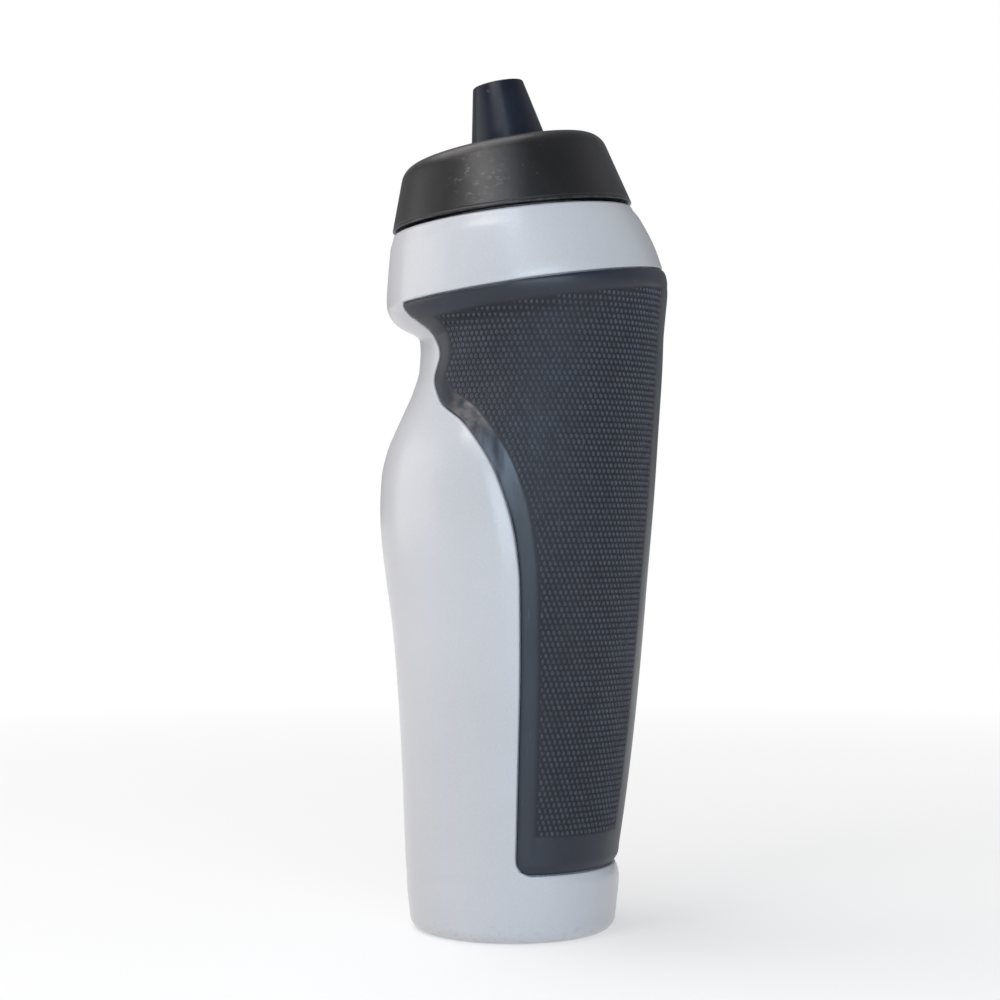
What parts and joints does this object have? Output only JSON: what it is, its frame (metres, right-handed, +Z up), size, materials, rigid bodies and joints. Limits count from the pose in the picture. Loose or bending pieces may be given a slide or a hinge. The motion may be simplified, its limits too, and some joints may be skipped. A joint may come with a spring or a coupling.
{
  "type": "sports squeeze bottle",
  "caption": "Waisted sports squeeze bottle with a leaning neck, a textured rubber grip round its back, a cone-shaped screw cap and a push-pull drinking spout.",
  "frame": {"origin": "bottom centre of the bounding box, in the plane of the standing ring", "axes": "+Z up, +X towards the back of the grip, -X towards the finger groove; the XZ plane is the plane of symmetry"},
  "size_m": [0.082, 0.0754, 0.2414],
  "materials": {
    "body_plastic": "satin light-grey squeezable polyethylene",
    "grip_rubber": "matt slate-black moulded rubber with raised dots",
    "cap_plastic": "fine matt charcoal plastic, lightly scuffed",
    "insert_plastic": "plain matt black plastic",
    "seal_silicone": "milky silicone",
    "spout_rubber": "smooth soft black bite rubber"
  },
  "bodies": {
    "bottle": {"bottle_body": "body_plastic", "grip_panel": "grip_rubber"},
    "closure_seal": {"cap_gasket": "seal_silicone"},
    "cap": {"cap_shell": "cap_plastic", "thread_insert": "insert_plastic", "tower_o_ring": "seal_silicone", "plug_tip": "spout_rubber"},
    "spout": {"spout_core": "insert_plastic", "spout_sleeve": "spout_rubber"}
  },
  "joints": [
    {"name": "cap_rise", "type": "slide", "parent": "bottle", "child": "closure_seal", "axis": [-0.1219, 0, 0.9925], "range_m": [0, 0.015]},
    {"name": "cap_unscrew", "type": "hinge", "parent": "closure_seal", "child": "cap", "pos_m": [-0.00334, 0, 0.2018], "axis": [-0.1219, 0, 0.9925], "range_deg": [0, 900]},
    {"name": "spout_pull", "type": "slide", "parent": "cap", "child": "spout", "axis": [-0.1822, 0, 0.9833], "range_m": [0, 0.005]}
  ],
  "couplings": [
    {"joint": "cap_rise", "follows": "cap_unscrew", "m_per_rad": 0.00095493}
  ]
}
